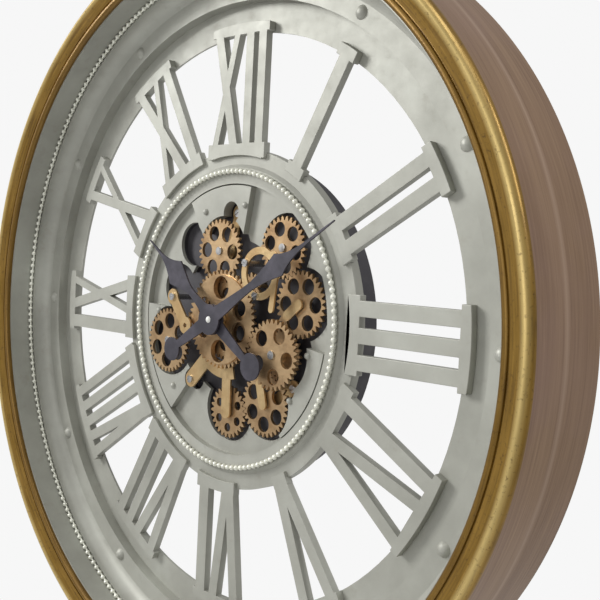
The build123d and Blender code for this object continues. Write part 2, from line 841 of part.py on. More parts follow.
with BuildPart() as battery_door:
    with BuildSketch(front(0)):
        with Locations(door_middle):
            RectangleRounded(door_width - 2 * door_clearance, door_height - 2 * door_clearance, door_corner)
    extrude(amount=back_cover_thickness)
    with BuildSketch(front(0)):
        with Locations((door_middle[0], door_middle[1] - door_height / 2 + door_notch_inset)):
            SlotOverall(*door_notch)
    extrude(amount=back_cover_thickness / 2, mode=Mode.SUBTRACT)
battery_door.part.label = "battery_door"
export_step(battery_door.part, "parts/battery_door.step")

# ================================================================ hanger
hanger_top = case_radius - hoop_wall - hanger_fit
hanger_hole_z = hanger_top - hanger_drop + hanger_hole_radius + hanger_hole_margin
with BuildPart() as hanger_bracket:
    with BuildSketch(front(0)):
        Circle(hanger_top)
        with Locations((0, hanger_top - hanger_drop / 2)):
            Rectangle(hanger_width, hanger_drop, mode=Mode.INTERSECT)
    extrude(amount=hanger_thickness)
    with BuildSketch(front(hanger_thickness)):
        Circle(hanger_top)
        Circle(hanger_top - hanger_thickness, mode=Mode.SUBTRACT)
        with Locations((0, hanger_top - hanger_drop / 2)):
            Rectangle(hanger_width, hanger_drop, mode=Mode.INTERSECT)
    extrude(amount=hanger_lip)
    with BuildSketch(front(0)):
        with Locations((0, hanger_hole_z)):
            Circle(hanger_hole_radius)
        bar((0, hanger_hole_z), (0, hanger_hole_z + hanger_slot_rise), 2 * hanger_slot_radius)
    extrude(amount=hanger_thickness, mode=Mode.SUBTRACT)
hanger_bracket.part.label = "hanger_bracket"
export_step(hanger_bracket.part, "parts/hanger_bracket.step")

# ================================================================ clock movement
tube_bottom = movement_back + tube_depth
shaft_bottom = movement_back + shaft_depth
with BuildPart() as clock_movement:
    with BuildSketch(front(movement_back)):
        with Locations(movement_middle):
            RectangleRounded(movement_width, movement_height, movement_corner)
    extrude(amount=movement_depth)
    with BuildSketch(front(movement_front)):
        Circle(neck_shoulder_radius)
    extrude(amount=layer_2 - end_float - movement_front)
    with BuildSketch(front(layer_2 - end_float)):
        Circle(neck_radius)
    extrude(amount=neck_top - layer_2 + end_float)
    with BuildSketch(front(tube_bottom)):
        Circle(hour_tube_radius + running_clearance)
    extrude(amount=neck_top - tube_bottom, mode=Mode.SUBTRACT)
    with BuildSketch(front(shaft_bottom)):
        Circle(minute_shaft_radius + running_clearance)
    extrude(amount=tube_bottom - shaft_bottom, mode=Mode.SUBTRACT)
    with BuildSketch(front(movement_back)):
        with Locations(cell_middle):
            Rectangle(cell_bay_length, 2 * (cell_radius + cell_clearance))
    extrude(amount=2 * (cell_radius + cell_clearance), mode=Mode.SUBTRACT)
    with BuildSketch(front(movement_back)):
        with Locations(knob_position):
            Circle(knob_shaft_radius + running_clearance)
    extrude(amount=knob_shaft_length + end_float, mode=Mode.SUBTRACT)
clock_movement.part.label = "clock_movement"
export_step(clock_movement.part, "parts/clock_movement.step")

hour_boss_bottom = hour_hand_height - hour_boss_length
minute_boss_bottom = minute_hand_height - minute_boss_length
hour_tube_top = hour_hand_height + hand_thickness
minute_shaft_top = minute_hand_height + hand_thickness
with BuildPart() as hour_tube:
    with BuildSketch(front(tube_bottom + end_float)):
        Circle(hour_tube_radius)
        Circle(minute_shaft_radius + running_clearance, mode=Mode.SUBTRACT)
    extrude(amount=hour_tube_top - tube_bottom - end_float)
hour_tube.part.label = "hour_tube"
export_step(hour_tube.part, "parts/hour_tube.step")

with BuildPart() as minute_shaft:
    with BuildSketch(front(shaft_bottom + end_float)):
        Circle(minute_shaft_radius)
    extrude(amount=minute_shaft_top - shaft_bottom - end_float)
minute_shaft.part.label = "minute_shaft"
export_step(minute_shaft.part, "parts/minute_shaft.step")

with BuildPart() as dial_nut:
    with BuildSketch(front(neck_top - dial_nut_thickness)):
        RegularPolygon(dial_nut_across_flats / 2, 6, major_radius=False)
        Circle(neck_radius, mode=Mode.SUBTRACT)
    extrude(amount=dial_nut_thickness)
dial_nut.part.label = "dial_nut"
export_step(dial_nut.part, "parts/dial_nut.step")


# ================================================================ hands
def hand_sketch(length, leaf_radii, leaf_width, tail_length, tail_radius):
    """Adds a leaf hand that points along the sketch's +X, with a round counterweight."""
    leaf_start, leaf_middle, leaf_end = leaf_radii
    half_widths = (
        (0, hand_root_width / 2),
        (leaf_start, hand_neck_width / 2),
        (leaf_middle, leaf_width / 2),
        (leaf_end, hand_needle_width / 2),
        (length, hand_tip_width / 2),
    )
    with BuildLine() as leaf:
        for side in (1, -1):
            root, neck, widest, needle, tip = [(x, side * y) for x, y in half_widths]
            Spline(root, neck, tangents=((1, 0), (1, 0)))
            Spline(neck, widest, tangents=((1, side * 0.12), (1, side * 0.3)))
            Spline(widest, needle, tangents=((1, side * -0.7), (1, side * -0.06)))
            Line(needle, tip)
        for x, y in (half_widths[0], half_widths[-1]):
            Line((x, -y), (x, y))
    make_face(leaf.edges())
    Circle(hand_hub_radius)
    tail_middle = tail_radius - tail_length
    Polygon(
        (0, hand_root_width / 2),
        (tail_middle, hand_tail_width / 2),
        (tail_middle, -hand_tail_width / 2),
        (0, -hand_root_width / 2),
        align=None,
    )
    with Locations((tail_middle, 0)):
        Circle(tail_radius)


minute_turn = 90 - 6 * shown_minutes
hour_turn = 90 - 30 * (10 + shown_minutes / 60)
with BuildPart() as hour_hand:
    with BuildSketch(front(hour_hand_height, turn=hour_turn)):
        hand_sketch(hour_hand_length, hour_leaf, hour_leaf_width, hour_tail_length, hour_tail_radius)
    extrude(amount=hand_thickness)
    with BuildSketch(front(hour_boss_bottom)):
        Circle(hour_boss_radius)
    extrude(amount=hour_hand_height - hour_boss_bottom)
    with BuildSketch(front(hour_boss_bottom)):
        Circle(hour_tube_radius)
    extrude(amount=hour_tube_top - hour_boss_bottom, mode=Mode.SUBTRACT)
hour_hand.part.label = "hour_hand"
export_step(hour_hand.part, "parts/hour_hand.step")

with BuildPart() as minute_hand:
    with BuildSketch(front(minute_hand_height, turn=minute_turn)):
        hand_sketch(minute_hand_length, minute_leaf, minute_leaf_width, minute_tail_length, minute_tail_radius)
    extrude(amount=hand_thickness)
    with BuildSketch(front(minute_boss_bottom)):
        Circle(minute_boss_radius)
    extrude(amount=minute_hand_height - minute_boss_bottom)
    with BuildSketch(front(minute_boss_bottom)):
        Circle(minute_shaft_radius)
    extrude(amount=minute_shaft_top - minute_boss_bottom, mode=Mode.SUBTRACT)
minute_hand.part.label = "minute_hand"
export_step(minute_hand.part, "parts/minute_hand.step")

cap_crown = (cap_radius**2 + cap_height**2) / (2 * cap_height)
with BuildPart() as cap:
    with BuildSketch(Plane.XZ):
        with BuildLine():
            Polyline((0, cap_height), (0, 0), (cap_radius, 0))
            RadiusArc((cap_radius, 0), (0, cap_height), -cap_crown)
        make_face()
    revolve(axis=Axis.Z)

with BuildPart() as hand_cap:
    with Locations(front(minute_shaft_top).location):
        add(cap.part)
hand_cap.part.label = "hand_cap"
export_step(hand_cap.part, "parts/hand_cap.step")

# ================================================================ set knob, cells, box, switch
with BuildPart() as set_knob:
    with BuildSketch(front(knob_recess, *knob_position)):
        Circle(knob_radius)
        with PolarLocations(knob_radius, knob_grip_count):
            Circle(knob_grip_radius, mode=Mode.SUBTRACT)
    extrude(amount=knob_thickness)
    with BuildSketch(front(knob_recess + knob_thickness, *knob_position)):
        Circle(knob_shaft_radius)
    extrude(amount=movement_back + knob_shaft_length - knob_recess - knob_thickness)
set_knob.part.label = "set_knob"
export_step(set_knob.part, "parts/set_knob.step")

cell_height = movement_back + cell_radius + cell_clearance
box_cell_pitch = 2 * cell_radius + cell_side_gap
cell_places = (
    (cell_middle[0], cell_middle[1]),
    (door_middle[0], box_position[1] + box_cell_pitch / 2),
    (door_middle[0], box_position[1] - box_cell_pitch / 2),
)
with BuildPart() as aa_cells:
    for x, z in cell_places:
        with BuildSketch(Plane.YZ.offset(x - cell_length / 2)):
            with Locations((-cell_height, z)):
                Circle(cell_radius)
        extrude(amount=cell_length)
        with BuildSketch(Plane.YZ.offset(x + cell_length / 2)):
            with Locations((-cell_height, z)):
                Circle(cell_nub_radius)
        extrude(amount=cell_nub_length)
aa_cells.part.label = "aa_cells"
export_step(aa_cells.part, "parts/aa_cells.step")

with BuildPart() as battery_box:
    with BuildSketch(front(back_cover_thickness)):
        with Locations(box_position):
            Rectangle(box_width, box_height)
    extrude(amount=movement_front - back_cover_thickness)
    with BuildSketch(front(back_cover_thickness)):
        with Locations(door_middle):
            Rectangle(door_width, door_height)
    extrude(amount=cell_height + cell_radius + cell_clearance - back_cover_thickness, mode=Mode.SUBTRACT)
    with BuildSketch(front(back_cover_thickness)):
        with Locations((switch_middle[0] + switch_travel / 2, switch_middle[1])):
            Rectangle(*switch_slot)
    extrude(amount=switch_depth + end_float, mode=Mode.SUBTRACT)
battery_box.part.label = "battery_box"
export_step(battery_box.part, "parts/battery_box.step")

with BuildPart() as gear_switch:
    with BuildSketch(front(switch_recess)):
        with Locations(switch_middle):
            Rectangle(*switch_size)
    extrude(amount=back_cover_thickness + switch_depth - switch_recess)
gear_switch.part.label = "gear_switch"
export_step(gear_switch.part, "parts/gear_switch.step")

# ================================================================ gear motor and its pinion
motor_shaft_bottom = movement_front - motor_shaft_depth
with BuildPart() as gear_motor:
    with BuildSketch(front(back_cover_thickness + motor_end_gap, *axis_motor)):
        Circle(motor_radius)
    extrude(amount=movement_front - back_cover_thickness - motor_end_gap)
    with BuildSketch(front(motor_shaft_bottom - end_float, *axis_motor)):
        Circle(minute_shaft_radius + running_clearance)
    extrude(amount=movement_front - motor_shaft_bottom + end_float, mode=Mode.SUBTRACT)
gear_motor.part.label = "gear_motor"
export_step(gear_motor.part, "parts/gear_motor.step")

with BuildPart() as motor_pinion:
    with BuildSketch(front(layer_2, *axis_motor)):
        toothed_wheel(teeth_motor, turn_motor)
    extrude(amount=gear_thickness)
    with BuildSketch(front(motor_shaft_bottom, *axis_motor)):
        Circle(minute_shaft_radius)
    extrude(amount=layer_2 - motor_shaft_bottom)
motor_pinion.part.label = "motor_pinion"
export_step(motor_pinion.part, "parts/motor_pinion.step")

# ================================================================ centre wheels
centre_pitch_radius = gear_module * teeth_centre / 2
petal_hole_circle = centre_pitch_radius * 2 / 3
petal_hole_radius = petal_hole_share * centre_pitch_radius
side_hole_pitch_x = 2 * side_hole_shares[0] * centre_pitch_radius
side_hole_pitch_y = 2 * side_hole_shares[1] * centre_pitch_radius
with BuildPart() as centre_wheel:
    with BuildSketch(front(layer_3)):
        toothed_wheel(teeth_centre, 0)
        Circle(neck_radius + running_clearance, mode=Mode.SUBTRACT)
        with Locations((0, petal_hole_circle), (0, -petal_hole_circle)):
            Circle(petal_hole_radius, mode=Mode.SUBTRACT)
        with GridLocations(side_hole_pitch_x, side_hole_pitch_y, 2, 2):
            Circle(side_hole_share * centre_pitch_radius, mode=Mode.SUBTRACT)
    extrude(amount=gear_thickness)
    petal_circle = centre_pitch_radius - rim_modules * gear_module / 2
    for side in (1, -1):
        with BuildSketch(front(layer_3 + gear_thickness)):
            Circle(petal_circle)
            with Locations((0, side * 2 * petal_hole_circle)):
                Circle(petal_circle, mode=Mode.INTERSECT)
            with Locations((0, side * petal_hole_circle)):
                Circle(petal_hole_radius, mode=Mode.SUBTRACT)
        extrude(amount=petal_rise)
centre_wheel.part.label = "centre_wheel"
export_step(centre_wheel.part, "parts/centre_wheel.step")

rear_pitch_radius = gear_module * teeth_centre_rear / 2
with BuildPart() as centre_rear_wheel:
    with BuildSketch(front(layer_2)):
        toothed_wheel(teeth_centre_rear, 0)
        Circle(neck_radius + running_clearance, mode=Mode.SUBTRACT)
        lightening_holes(6, rear_hole_circle_share * rear_pitch_radius, rear_hole_share * rear_pitch_radius, 30)
    extrude(amount=gear_thickness)
    with BuildSketch(front(layer_2 + gear_thickness)):
        Circle(neck_shoulder_radius)
        Circle(neck_radius + running_clearance, mode=Mode.SUBTRACT)
    extrude(amount=layer_pitch - gear_thickness)
centre_rear_wheel.part.label = "centre_rear_wheel"
export_step(centre_rear_wheel.part, "parts/centre_rear_wheel.step")

# ================================================================ outer gears
# name, axis, teeth, tooth angle, layer, holes, hole radius as a share of the pitch radius
gear_list = (
    ("upper_gear", axis_upper, teeth_upper, turn_upper, layer_2, 6, 0.25),
    ("left_gear", axis_left, teeth_left, turn_left, layer_2, 6, 0.25),
    ("left_idler", axis_idler, teeth_idler, turn_idler, layer_2, 4, 0.16),
    ("right_gear", axis_right, teeth_right, turn_right, layer_1, 6, 0.25),
    ("upper_right_gear", axis_upper_right, teeth_upper_right, turn_upper_right, layer_1, 6, 0.25),
    ("bottom_right_gear", axis_bottom_right, teeth_bottom_right, turn_bottom_right, layer_1, 6, 0.25),
    ("bottom_gear", axis_bottom, teeth_bottom, turn_bottom, layer_1, 6, 0.18),
    ("lower_right_gear", axis_lower_right, teeth_lower_right, turn_lower_right, layer_3, 5, 0.24),
)
for name, axis, teeth, turn, layer, hole_count, hole_share in gear_list:
    pitch_radius = gear_module * teeth / 2
    with BuildPart() as gear:
        with BuildSketch(front(layer, *axis)):
            toothed_wheel(teeth, turn)
            Circle(arbor_radius + running_clearance, mode=Mode.SUBTRACT)
            lightening_holes(hole_count, hole_circle_share * pitch_radius, hole_share * pitch_radius, turn)
        extrude(amount=gear_thickness)
        if name == "lower_right_gear":
            with BuildSketch(front(layer_1, *axis)):
                toothed_wheel(teeth_pinion, 0)
                Circle(arbor_radius + running_clearance, mode=Mode.SUBTRACT)
            extrude(amount=gear_thickness)
            with BuildSketch(front(layer_1 + gear_thickness, *axis)):
                Circle(pinion_hub_radius)
                Circle(arbor_radius + running_clearance, mode=Mode.SUBTRACT)
            extrude(amount=layer_3 - layer_1 - gear_thickness)
    gear.part.label = name
    export_step(gear.part, f"parts/{name}.step")

# ================================================================ arbors
with BuildPart() as gear_arbors:
    for axis, layer in arbors:
        gear_top = layer_3 + gear_thickness if axis == axis_lower_right else layer + gear_thickness
        with BuildSketch(front(well_floor, *axis)):
            Circle(arbor_column_radius)
        extrude(amount=layer - end_float - well_floor)
        with BuildSketch(front(layer - end_float, *axis)):
            Circle(arbor_radius)
        extrude(amount=gear_top + 2 * end_float - layer)
        with BuildSketch(front(gear_top + end_float, *axis)):
            Circle(arbor_column_radius)
        extrude(amount=arbor_head_thickness)
gear_arbors.part.label = "gear_arbors"
export_step(gear_arbors.part, "parts/gear_arbors.step")

# ================================================================ cocks
def ring_cock_point(angle):
    return (
        ring_cock_middle[0] + ring_cock_mid_radius * cos(radians(angle)),
        ring_cock_middle[1] + ring_cock_mid_radius * sin(radians(angle)),
    )


ring_lug_a = ring_cock_point(ring_lug_angles[0])
ring_lug_b = ring_cock_point(ring_lug_angles[1])
screw_hole = cock_screw_radius + hole_clearance

with BuildPart() as upper_cock:
    with BuildSketch(front(rear_cock_height)):
        with Locations(upper_lug):
            Circle(lug_radius)
        bar(upper_lug, axis_upper, rear_arm_width)
        with Locations(axis_upper):
            Circle(arbor_column_radius + arbor_eye_margin)
            Circle(arbor_column_radius + hole_clearance, mode=Mode.SUBTRACT)
        with Locations(upper_lug):
            Circle(screw_hole, mode=Mode.SUBTRACT)
    extrude(amount=cock_thickness)
upper_cock.part.label = "upper_cock"
export_step(upper_cock.part, "parts/upper_cock.step")

with BuildPart() as lower_right_cock:
    with BuildSketch(front(rear_cock_height)):
        with Locations(lower_right_lug):
            Circle(lug_radius)
        bar(lower_right_lug, axis_bottom_right, rear_arm_width)
        with Locations(axis_bottom_right):
            Circle(arbor_column_radius + arbor_eye_margin)
            Circle(arbor_column_radius + hole_clearance, mode=Mode.SUBTRACT)
        with Locations(lower_right_lug):
            Circle(screw_hole, mode=Mode.SUBTRACT)
    extrude(amount=cock_thickness)
lower_right_cock.part.label = "lower_right_cock"
export_step(lower_right_cock.part, "parts/lower_right_cock.step")

# The lower cock curves round the rear centre wheel from its lug and sends an arm to the
# bottom gear's arbor.
lower_arc_inner = tip_radius(teeth_centre_rear) + sickle_gap
lower_arc_outer = lower_arc_inner + sickle_width
lower_arc_middle = (lower_arc_inner + lower_arc_outer) / 2


def moved(point, shift):
    return (point[0] + shift[0], point[1] + shift[1])


def round_centre(radius, angle):
    return (radius * cos(radians(angle)), radius * sin(radians(angle)))


with BuildPart() as lower_cock:
    with BuildSketch(front(lower_cock_height)):
        with Locations(lower_lug):
            Circle(lug_radius)
        bar(lower_lug, round_centre(lower_arc_middle, sickle_root_angle), sickle_width)
        Polygon(
            round_centre(lower_arc_inner / 2, sickle_angles[0]),
            round_centre(1.3 * lower_arc_outer, sickle_angles[0]),
            round_centre(1.5 * lower_arc_outer, sickle_angles[1]),
            round_centre(1.3 * lower_arc_outer, sickle_angles[2]),
            round_centre(lower_arc_inner / 2, sickle_angles[2]),
            align=None,
        )
        with BuildSketch(front(lower_cock_height), mode=Mode.INTERSECT):
            Circle(lower_arc_outer)
            with Locations(lower_lug):
                Circle(lug_radius)
            bar(lower_lug, round_centre(lower_arc_middle, sickle_root_angle), sickle_width)
        bar(round_centre(lower_arc_middle, sickle_arm_angle), axis_bottom, sickle_arm_width)
        Circle(lower_arc_inner, mode=Mode.SUBTRACT)
        with Locations(lower_lug):
            Circle(screw_hole, mode=Mode.SUBTRACT)
    extrude(amount=cock_thickness)
lower_cock.part.label = "lower_cock"
export_step(lower_cock.part, "parts/lower_cock.step")

with BuildPart() as left_cock:
    with BuildSketch(front(front_cock_height)):
        with Locations(left_lug):
            Circle(lug_radius)
        bar(left_lug, axis_idler, left_arm_width)
        with Locations(axis_idler):
            Circle(left_eye_radius)
            Circle(arbor_radius, mode=Mode.SUBTRACT)
        with Locations(left_lug):
            Circle(screw_hole, mode=Mode.SUBTRACT)
    extrude(amount=cock_thickness)
left_cock.part.label = "left_cock"
export_step(left_cock.part, "parts/left_cock.step")

with BuildPart() as ring_cock:
    with BuildSketch(front(front_cock_height)):
        with Locations(ring_cock_middle):
            Circle(ring_cock_outer)
        with Locations(ring_cock_point(ring_boss_angle)):
            Circle(ring_boss_radius)
        bar(ring_cock_point(ring_tail_angle), moved(ring_cock_middle, ring_tail_end), ring_tail_width)
        with Locations(ring_cock_middle):
            Circle(ring_cock_inner, mode=Mode.SUBTRACT)
        with Locations(ring_lug_a, ring_lug_b):
            Circle(screw_hole, mode=Mode.SUBTRACT)
    extrude(amount=cock_thickness)
ring_cock.part.label = "ring_cock"
export_step(ring_cock.part, "parts/ring_cock.step")

small_cock_height = layer_1 + gear_thickness + end_float + arbor_head_thickness
with BuildPart() as small_cocks:
    with BuildSketch(front(small_cock_height)):
        bar(axis_right, moved(axis_right, right_small_reach), small_cock_width)
        bar(axis_bottom_right, moved(axis_bottom_right, bottom_small_reach), small_cock_width)
    extrude(amount=cock_thickness)
small_cocks.part.label = "small_cocks"
export_step(small_cocks.part, "parts/small_cocks.step")

lugs = (
    (upper_lug, rear_cock_height),
    (lower_right_lug, rear_cock_height),
    (lower_lug, lower_cock_height),
    (left_lug, front_cock_height),
    (ring_lug_a, front_cock_height),
    (ring_lug_b, front_cock_height),
)
with BuildPart() as cock_pillars:
    for lug, height in lugs:
        with BuildSketch(front(well_floor, *lug)):
            Circle(pillar_radius)
        extrude(amount=height - well_floor)
        with BuildSketch(front(height, *lug)):
            Circle(screw_hole)
        extrude(amount=-cock_screw_depth, mode=Mode.SUBTRACT)
cock_pillars.part.label = "cock_pillars"
export_step(cock_pillars.part, "parts/cock_pillars.step")

with BuildPart() as cock_screws:
    for lug, height in lugs:
        with BuildSketch(front(height - cock_screw_depth + end_float, *lug)):
            Circle(cock_screw_radius)
        extrude(amount=cock_screw_depth - end_float + cock_thickness)
        with BuildSketch(front(height + cock_thickness, *lug)):
            Circle(cock_screw_head_radius)
        extrude(amount=cock_screw_head_height)
        with BuildSketch(front(height + cock_thickness + cock_screw_head_height, *lug, turn=30)):
            Rectangle(2.2 * cock_screw_head_radius, screw_slot_width)
        extrude(amount=-screw_slot_depth, mode=Mode.SUBTRACT)
cock_screws.part.label = "cock_screws"
export_step(cock_screws.part, "parts/cock_screws.step")
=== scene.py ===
import json
import math

import bmesh
import bpy
from mathutils import Matrix, Vector


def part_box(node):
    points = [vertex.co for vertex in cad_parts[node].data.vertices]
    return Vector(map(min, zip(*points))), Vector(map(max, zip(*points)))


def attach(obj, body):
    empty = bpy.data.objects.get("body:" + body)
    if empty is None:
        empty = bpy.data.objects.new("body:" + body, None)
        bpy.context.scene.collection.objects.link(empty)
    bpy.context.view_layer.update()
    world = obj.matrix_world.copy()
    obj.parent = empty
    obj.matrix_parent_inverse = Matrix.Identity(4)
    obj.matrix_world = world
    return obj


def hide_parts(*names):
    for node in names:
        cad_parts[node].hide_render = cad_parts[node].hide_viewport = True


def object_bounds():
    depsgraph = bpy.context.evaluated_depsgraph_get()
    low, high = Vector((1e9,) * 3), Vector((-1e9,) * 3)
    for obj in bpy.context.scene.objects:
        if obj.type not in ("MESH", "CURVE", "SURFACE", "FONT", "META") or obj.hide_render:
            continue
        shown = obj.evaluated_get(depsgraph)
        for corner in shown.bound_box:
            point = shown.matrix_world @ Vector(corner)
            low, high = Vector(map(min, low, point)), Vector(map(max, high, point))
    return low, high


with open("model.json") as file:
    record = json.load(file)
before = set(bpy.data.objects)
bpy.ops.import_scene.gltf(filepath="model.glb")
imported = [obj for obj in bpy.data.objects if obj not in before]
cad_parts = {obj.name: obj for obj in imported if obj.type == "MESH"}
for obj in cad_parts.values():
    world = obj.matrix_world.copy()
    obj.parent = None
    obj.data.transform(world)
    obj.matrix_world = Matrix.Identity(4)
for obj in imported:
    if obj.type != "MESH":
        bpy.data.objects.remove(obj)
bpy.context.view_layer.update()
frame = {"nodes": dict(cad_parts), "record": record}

MM = 0.001

# ------------------------------------------------------------------ materials


def lin(red, green, blue):
    """Linear colour from display values between 0 and 255."""
    out = []
    for value in (red, green, blue):
        c = value / 255
        out.append(c / 12.92 if c <= 0.04045 else ((c + 0.055) / 1.055) ** 2.4)
    return (*out, 1.0)


RGBA_MIX_SOCKETS = (0, 6, 7)


class Nodes:
    """A material's node tree with short calls for the nodes that are used here."""

    def __init__(self, name):
        self.material = bpy.data.materials.new(name)
        self.material.use_nodes = True
        self.tree = self.material.node_tree
        self.shader = self.tree.nodes["Principled BSDF"]

    def add(self, kind, **values):
        node = self.tree.nodes.new(kind)
        for key, value in values.items():
            if hasattr(node, key):
                setattr(node, key, value)
            else:
                node.inputs[key.replace("_", " ")].default_value = value
        return node

    def link(self, source, target):
        self.tree.links.new(source, target)

    def coordinates(self, scale=(1, 1, 1)):
        place = self.add("ShaderNodeTexCoord")
        mapping = self.add("ShaderNodeMapping")
        mapping.inputs["Scale"].default_value = scale
        self.link(place.outputs["Object"], mapping.inputs["Vector"])
        return mapping.outputs["Vector"]

    def polar(self):
        """Radius and angle round the clock's axis and place along it, in metres and radians."""
        place = self.add("ShaderNodeTexCoord")
        split = self.add("ShaderNodeSeparateXYZ")
        self.link(place.outputs["Object"], split.inputs["Vector"])
        angle = self.math("ARCTAN2", split.outputs["Z"], split.outputs["X"])
        square_x = self.math("MULTIPLY", split.outputs["X"], split.outputs["X"])
        square_z = self.math("MULTIPLY", split.outputs["Z"], split.outputs["Z"])
        radius = self.math("SQRT", self.math("ADD", square_x, square_z))
        return radius, angle, split.outputs["Y"]

    def math(self, operation, first, second=None):
        node = self.add("ShaderNodeMath", operation=operation)
        for socket, value in zip(node.inputs, (first, second)):
            if value is None:
                continue
            if isinstance(value, (int, float)):
                socket.default_value = value
            else:
                self.link(value, socket)
        return node.outputs[0]

    def combine(self, x, y, z):
        node = self.add("ShaderNodeCombineXYZ")
        for socket, value in zip(node.inputs, (x, y, z)):
            if isinstance(value, (int, float)):
                socket.default_value = value
            else:
                self.link(value, socket)
        return node.outputs[0]

    def noise(self, vector, scale, detail=4.0, roughness=0.55):
        node = self.add("ShaderNodeTexNoise")
        node.inputs["Scale"].default_value = scale
        node.inputs["Detail"].default_value = detail
        node.inputs["Roughness"].default_value = roughness
        self.link(vector, node.inputs["Vector"])
        return node.outputs["Fac"]

    def ramp(self, factor, *stops):
        node = self.add("ShaderNodeValToRGB")
        ramp = node.color_ramp
        while len(ramp.elements) < len(stops):
            ramp.elements.new(0.5)
        for element, (position, colour) in zip(ramp.elements, stops):
            element.position = position
            element.color = colour
        self.link(factor, node.inputs["Fac"])
        return node.outputs["Color"]

    def mix(self, factor, first, second):
        node = self.add("ShaderNodeMix", data_type="RGBA", blend_type="MIX")
        for place, value in zip(RGBA_MIX_SOCKETS, (factor, first, second)):
            socket = node.inputs[place]
            if isinstance(value, (int, float, tuple)):
                socket.default_value = value
            else:
                self.link(value, socket)
        return node.outputs[2]

    def bump(self, height, strength, distance):
        node = self.add("ShaderNodeBump")
        node.inputs["Strength"].default_value = strength
        node.inputs["Distance"].default_value = distance
        self.link(height, node.inputs["Height"])
        self.link(node.outputs["Normal"], self.shader.inputs["Normal"])

    def set(self, **values):
        for key, value in values.items():
            self.shader.inputs[key.replace("_", " ")].default_value = value

    def feed(self, socket, name):
        self.link(socket, self.shader.inputs[name])


def grey(value):
    return (value, value, value, 1.0)


CASE_LINES = (-0.0385,)
CASE_LINE_HALF = 0.00025
CASE_LINE_FADE = CASE_LINE_HALF * 2.2


def case_brown():
    """Bronze-brown paint dragged round the hoop, with one faint paler line."""
    m = Nodes("case_brown")
    _, angle, depth = m.polar()
    along = m.combine(m.math("MULTIPLY", angle, 1.2), m.math("MULTIPLY", depth, 150.0), 0.0)
    fine = m.noise(along, 3.2, 6.0, 0.68)
    wide = m.combine(m.math("MULTIPLY", angle, 0.7), m.math("MULTIPLY", depth, 26.0), 2.0)
    broad = m.noise(wide, 2.0, 3.0, 0.5)
    cloud = m.noise(m.coordinates(), 9.0, 4.0, 0.6)
    streaks = m.ramp(
        fine,
        (0.30, lin(96, 72, 54)),
        (0.46, lin(124, 96, 72)),
        (0.60, lin(136, 108, 82)),
        (0.76, lin(166, 138, 106)),
    )
    tone = m.ramp(broad, (0.35, lin(108, 82, 60)), (0.65, lin(140, 114, 88)))
    body = m.mix(0.5, streaks, tone)
    body = m.mix(m.ramp(cloud, (0.42, grey(0.0)), (0.75, grey(0.4))), body, lin(138, 112, 104))
    for line in CASE_LINES:
        off = m.math("ABSOLUTE", m.math("ADD", depth, -line))
        band = m.ramp(off, (CASE_LINE_HALF, grey(0.4)), (CASE_LINE_FADE, grey(0.0)))
        body = m.mix(band, body, lin(176, 152, 132))
    m.feed(body, "Base Color")
    rough = m.ramp(fine, (0.3, grey(0.50)), (0.75, grey(0.38)))
    m.feed(rough, "Roughness")
    m.set(Metallic=0.22)
    m.bump(fine, 0.10, 0.0002)
    return m.material


# Radius and widths of the painted highlight ring on the bezel's outer ridge, and where the darker
# inner zone starts.
CREST_RADIUS = 0.2958
CREST_HALF = 0.0006
CREST_FADE = 0.0022
INNER_RADIUS = 0.2720


def bezel_gold():
    """Antique gold leaf paint with a painted highlight ring along the outer ridge, and darker towards
    the inner edge.
    """
    m = Nodes("bezel_gold")
    radius, angle, depth = m.polar()
    drag = m.combine(m.math("MULTIPLY", angle, 5.0), m.math("MULTIPLY", radius, 420.0), depth)
    fine = m.noise(drag, 1.6, 5.0, 0.6)
    blotch = m.combine(m.math("MULTIPLY", angle, 3.0), m.math("MULTIPLY", radius, 40.0), 5.0)
    patch = m.noise(blotch, 2.6, 5.0, 0.6)
    speck = m.noise(m.coordinates(), 420.0, 3.0, 0.7)
    gold = m.ramp(
        fine,
        (0.26, lin(92, 66, 18)),
        (0.44, lin(128, 97, 30)),
        (0.62, lin(142, 109, 38)),
        (0.82, lin(168, 134, 62)),
    )
    # Painted highlight: a bright ring at the outer ridge's radius, standing for light caught there
    # all round the bezel.
    from_crest = m.math("ABSOLUTE", m.math("ADD", radius, -CREST_RADIUS))
    crest_highlight = m.ramp(from_crest, (CREST_HALF, grey(0.7)), (CREST_FADE, grey(0.0)))
    gold = m.mix(crest_highlight, gold, lin(236, 210, 140))
    # Darker towards the inner edge, by radius, broken up by the blotch noise; this colour also
    # carries the painted highlight ring.
    inward = m.math("MULTIPLY", m.math("ADD", radius, -INNER_RADIUS), 40.0)
    inward = m.math("ADD", inward, m.math("MULTIPLY", patch, 0.4))
    inner = m.ramp(inward, (0.25, grey(0.75)), (0.80, grey(0.12)))
    gold_highlit_dark_inward = m.mix(inner, gold, lin(92, 66, 30))
    specks = m.ramp(speck, (0.58, grey(0.0)), (0.70, grey(0.6)))
    m.feed(m.mix(specks, gold_highlit_dark_inward, lin(70, 46, 16)), "Base Color")
    m.feed(m.ramp(patch, (0.3, grey(0.26)), (0.7, grey(0.42))), "Roughness")
    m.set(Metallic=0.5)
    m.bump(fine, 0.07, 0.0002)
    return m.material


